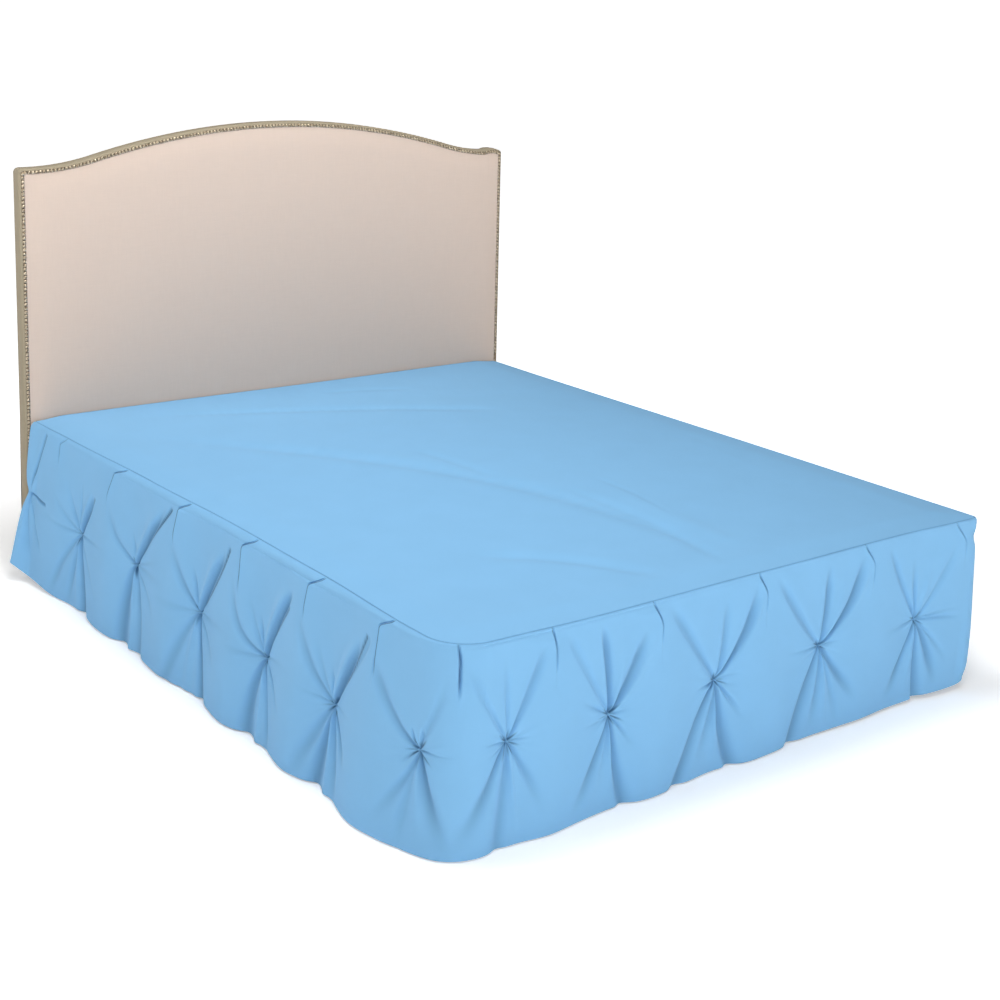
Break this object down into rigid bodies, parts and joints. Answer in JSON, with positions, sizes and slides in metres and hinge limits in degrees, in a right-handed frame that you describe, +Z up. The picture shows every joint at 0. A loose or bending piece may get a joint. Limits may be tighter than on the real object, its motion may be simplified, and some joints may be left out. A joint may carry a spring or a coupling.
{
  "type": "pinch-pleated bed skirt on a bed base with an upholstered headboard",
  "caption": "Bed skirt with a flat deck and gathered drops with tacked star pleats on three sides, on a plain bed base with an arched, nail-trimmed headboard.",
  "frame": {"origin": "on the floor, under the middle of the whole part's box", "axes": "+Z up, +Y towards the headboard, +X to the right of someone who stands at the foot and faces the headboard"},
  "size_m": [1.7792, 2.0922, 1.267],
  "materials": {
    "deck_cloth": "smooth light blue brushed microfibre, matt",
    "drop_cloth": "smooth light blue brushed microfibre, matt, pleated",
    "base_cover": "plain woven cover",
    "headboard_cloth": "beige upholstery weave",
    "leg_wood": "dark stained, satin"
  },
  "bodies": {
    "root": {"deck": "deck_cloth", "drop_left": "drop_cloth", "drop_foot": "drop_cloth", "drop_right": "drop_cloth", "bed_base": "base_cover", "headboard": "headboard_cloth", "base_leg_left_foot": "leg_wood", "base_leg_left_middle": "leg_wood", "base_leg_left_head": "leg_wood", "base_leg_right_foot": "leg_wood", "base_leg_right_middle": "leg_wood", "base_leg_right_head": "leg_wood", "headboard_leg_left": "leg_wood", "headboard_leg_right": "leg_wood"}
  },
  "joints": []
}
